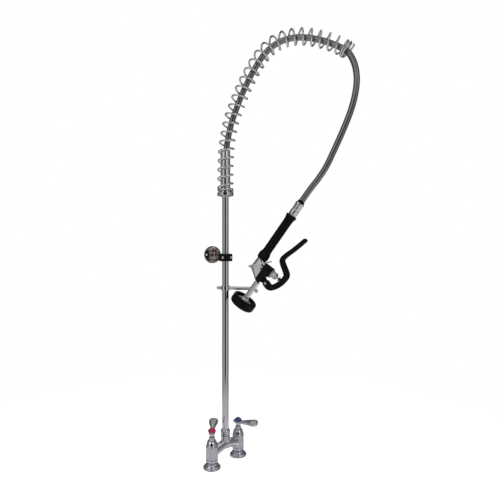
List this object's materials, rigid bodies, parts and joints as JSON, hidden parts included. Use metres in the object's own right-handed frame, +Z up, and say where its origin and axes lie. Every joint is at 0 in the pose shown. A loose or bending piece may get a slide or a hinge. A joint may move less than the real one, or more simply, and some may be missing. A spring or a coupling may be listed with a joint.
{
  "type": "pre rinse faucet",
  "caption": "Deck-mount pre-rinse faucet: two valve columns on a bridge, tall riser, overhead spring, braided hose, squeeze spray valve, parking hook and wall bracket.",
  "frame": {"origin": "on the deck plane, midway between the two supply shanks", "axes": "+Z up along the riser, +X from the hot valve to the cold valve, -Y towards the user"},
  "size_m": [0.2035, 0.4533, 1.179],
  "materials": {
    "base_chrome": "polished chrome over cast brass",
    "chrome": "polished chrome",
    "satin_chrome": "satin chrome",
    "spring_steel": "bright steel wire",
    "steel_braid": "woven stainless braid",
    "black_rubber": "matte",
    "black_plastic": "semi-gloss",
    "brass": "machined",
    "stainless": "machined",
    "hot_red": "glossy, faceted",
    "cold_blue": "glossy, faceted"
  },
  "bodies": {
    "root": {"base_body": "base_chrome", "hot_flange": "base_chrome", "cold_flange": "base_chrome", "hot_gasket": "black_rubber", "cold_gasket": "black_rubber", "hot_shank": "brass", "cold_shank": "brass", "hot_washer": "stainless", "cold_washer": "stainless", "hot_lock_nut": "brass", "cold_lock_nut": "brass", "hot_cartridge": "brass", "cold_cartridge": "brass", "hot_bonnet": "base_chrome", "cold_bonnet": "base_chrome", "riser_collar": "chrome", "riser_seal": "black_rubber", "riser_lock_screw": "chrome", "riser_pipe": "chrome", "hook": "chrome", "hook_screw": "chrome", "spring_seat": "chrome"},
    "hot_handle": {"hot_stem": "brass", "hot_lever": "satin_chrome", "hot_screw": "stainless", "hot_index": "hot_red"},
    "cold_handle": {"cold_stem": "brass", "cold_lever": "satin_chrome", "cold_screw": "stainless", "cold_index": "cold_blue"},
    "bracket": {"clamp_front": "black_plastic", "clamp_rear": "black_plastic", "clamp_screw_left": "stainless", "clamp_screw_right": "stainless", "bracket_rod": "chrome", "rod_nut": "chrome", "wall_plate": "chrome"},
    "arm": {"top_sleeve": "chrome", "hose_inlet": "brass", "overhead_spring": "spring_steel", "spray_hose": "steel_braid"},
    "hose_end": {"hose_seal": "black_rubber", "hose_ferrule": "chrome"},
    "sprayer": {"grip_tube": "chrome", "grip_sleeve": "black_rubber", "spray_body": "chrome", "trigger_yoke": "black_plastic", "spray_barrel": "chrome", "head_shell": "chrome", "spray_face": "stainless", "bumper_ring": "black_rubber", "face_screw": "stainless", "valve_seat": "satin_chrome", "valve_bonnet": "chrome", "pivot_pin": "stainless", "plunger_spring": "spring_steel"},
    "trigger": {"trigger_lever": "black_plastic"},
    "plunger_rod": {"plunger": "chrome"},
    "ring": {"hold_ring": "spring_steel"}
  },
  "joints": [
    {"name": "hot_handle_turn", "type": "hinge", "parent": "root", "child": "hot_handle", "pos_m": [-0.0508, 0, 0.09], "axis": [0, 0, 1], "range_deg": [0, 90]},
    {"name": "cold_handle_turn", "type": "hinge", "parent": "root", "child": "cold_handle", "pos_m": [0.0508, 0, 0.09], "axis": [0, 0, 1], "range_deg": [0, 90]},
    {"name": "wall_bracket_turn", "type": "hinge", "parent": "root", "child": "bracket", "pos_m": [0, 0, 0.54], "axis": [0, 0, 1], "range_deg": [-60, 60]},
    {"name": "arm_swing", "type": "hinge", "parent": "root", "child": "arm", "pos_m": [0, 0, 0.712], "axis": [0, 0, -1], "range_deg": [0, 60]},
    {"name": "hose_bend", "type": "hinge", "parent": "arm", "child": "hose_end", "pos_m": [0.10261, -0.28191, 1.057], "axis": [-0.342, 0.9397, 0], "range_deg": [0, 25], "deforming": ["spray_hose", "overhead_spring"]},
    {"name": "spray_swivel", "type": "hinge", "parent": "hose_end", "child": "sprayer", "pos_m": [0.06224, -0.171, 0.64793], "axis": [-0.201, 0.5523, -0.809], "range_deg": [0, 60]},
    {"name": "trigger_squeeze", "type": "hinge", "parent": "sprayer", "child": "trigger", "pos_m": [0.03897, -0.10708, 0.47485], "axis": [-0.9397, -0.342, 0], "range_deg": [0, 12], "stiffness_Nm_per_rad": 6, "springref_deg": -8.59},
    {"name": "plunger_push", "type": "slide", "parent": "sprayer", "child": "plunger_rod", "axis": [-0.2767, 0.7602, 0.5878], "range_m": [0, 0.0062], "deforming": ["plunger_spring"]},
    {"name": "hold_ring_lift", "type": "hinge", "parent": "sprayer", "child": "ring", "pos_m": [0.02385, -0.06553, 0.51811], "axis": [-0.9397, -0.342, 0], "range_deg": [0, 9]}
  ],
  "couplings": [
    {"joint": "plunger_push", "follows": "trigger_squeeze", "m_per_rad": 0.029}
  ]
}
